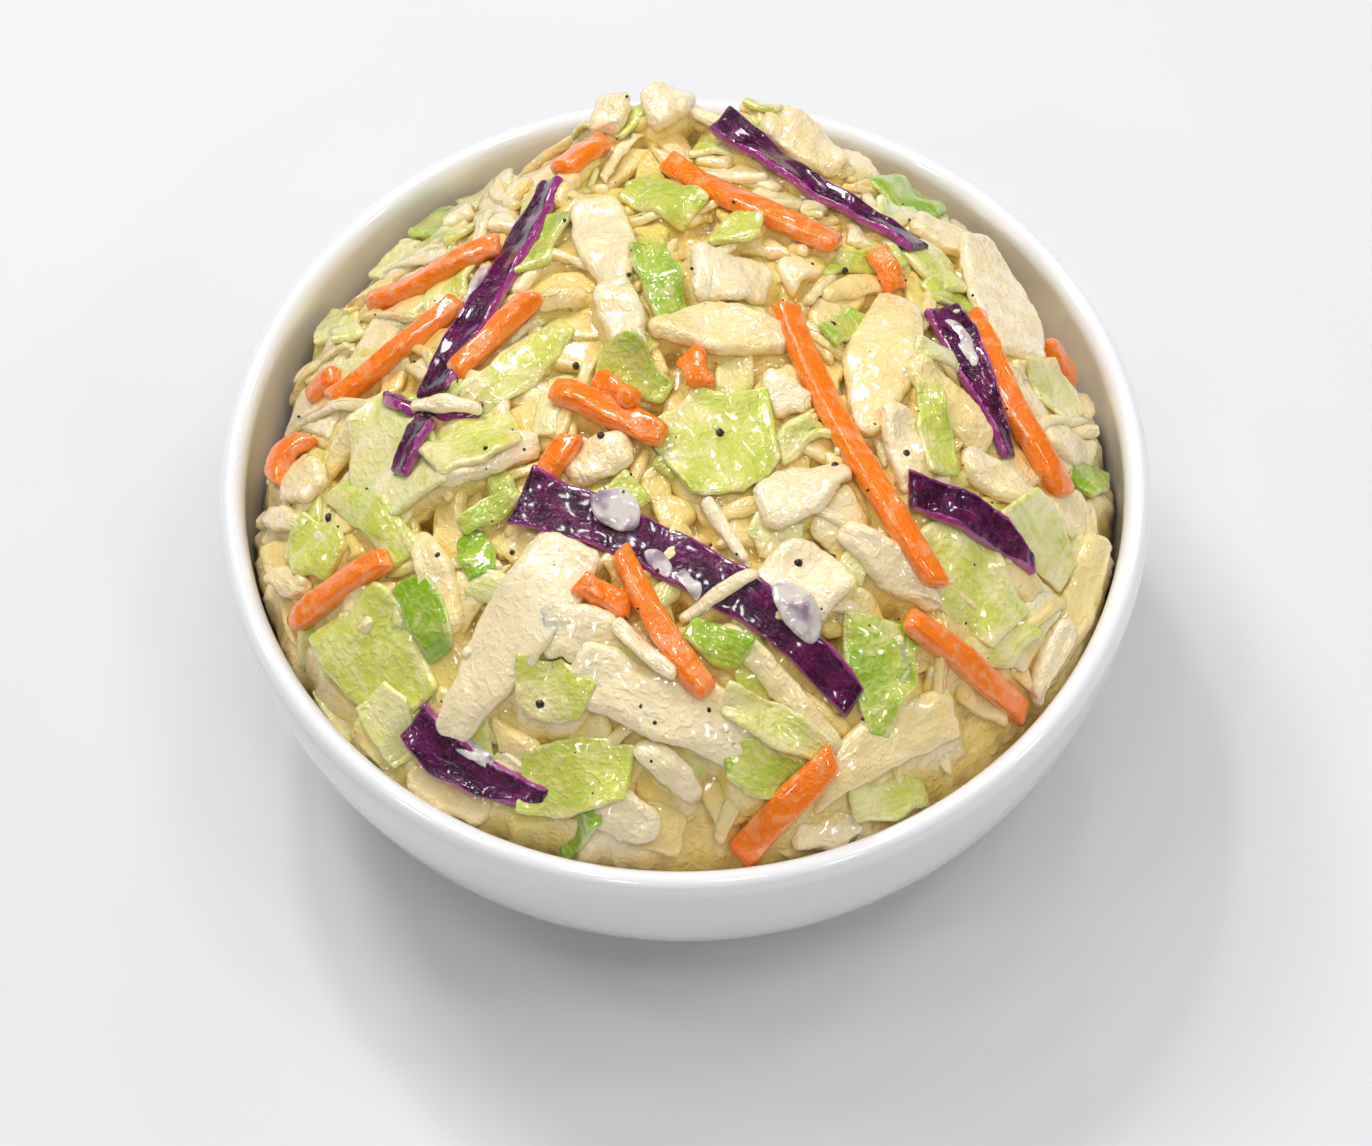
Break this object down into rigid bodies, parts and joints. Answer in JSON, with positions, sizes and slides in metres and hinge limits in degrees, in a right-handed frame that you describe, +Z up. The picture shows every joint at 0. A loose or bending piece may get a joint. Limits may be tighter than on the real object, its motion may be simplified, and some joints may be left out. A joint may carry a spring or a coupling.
{
  "type": "coleslaw in a bowl",
  "caption": "Creamy coleslaw of white and red cabbage, green leaf and carrot shreds, heaped in a plain round white glazed bowl.",
  "frame": {"origin": "centre of the bowl's foot ring, on the surface that it stands on", "axes": "+Z up through the heap; -Y faces the viewer, +X to the viewer's right"},
  "size_m": [0.15, 0.15, 0.0897],
  "materials": {
    "glaze": "white gloss glaze over smooth pressed stoneware",
    "slaw": "moist dressed cabbage, cream with a soft gloss",
    "white_cabbage": "cream white cabbage, moist, with faint veins",
    "green_leaf": "pale to bright green outer leaf, moist",
    "carrot": "raw orange carrot with a milky film of dressing",
    "red_cabbage": "deep purple leaf, glossy, streaked with dressing",
    "dressing": "thin creamy dressing, glossy",
    "pepper": "coarsely ground black pepper"
  },
  "bodies": {
    "root": {"bowl": "glaze", "coleslaw": "slaw"}
  },
  "joints": []
}
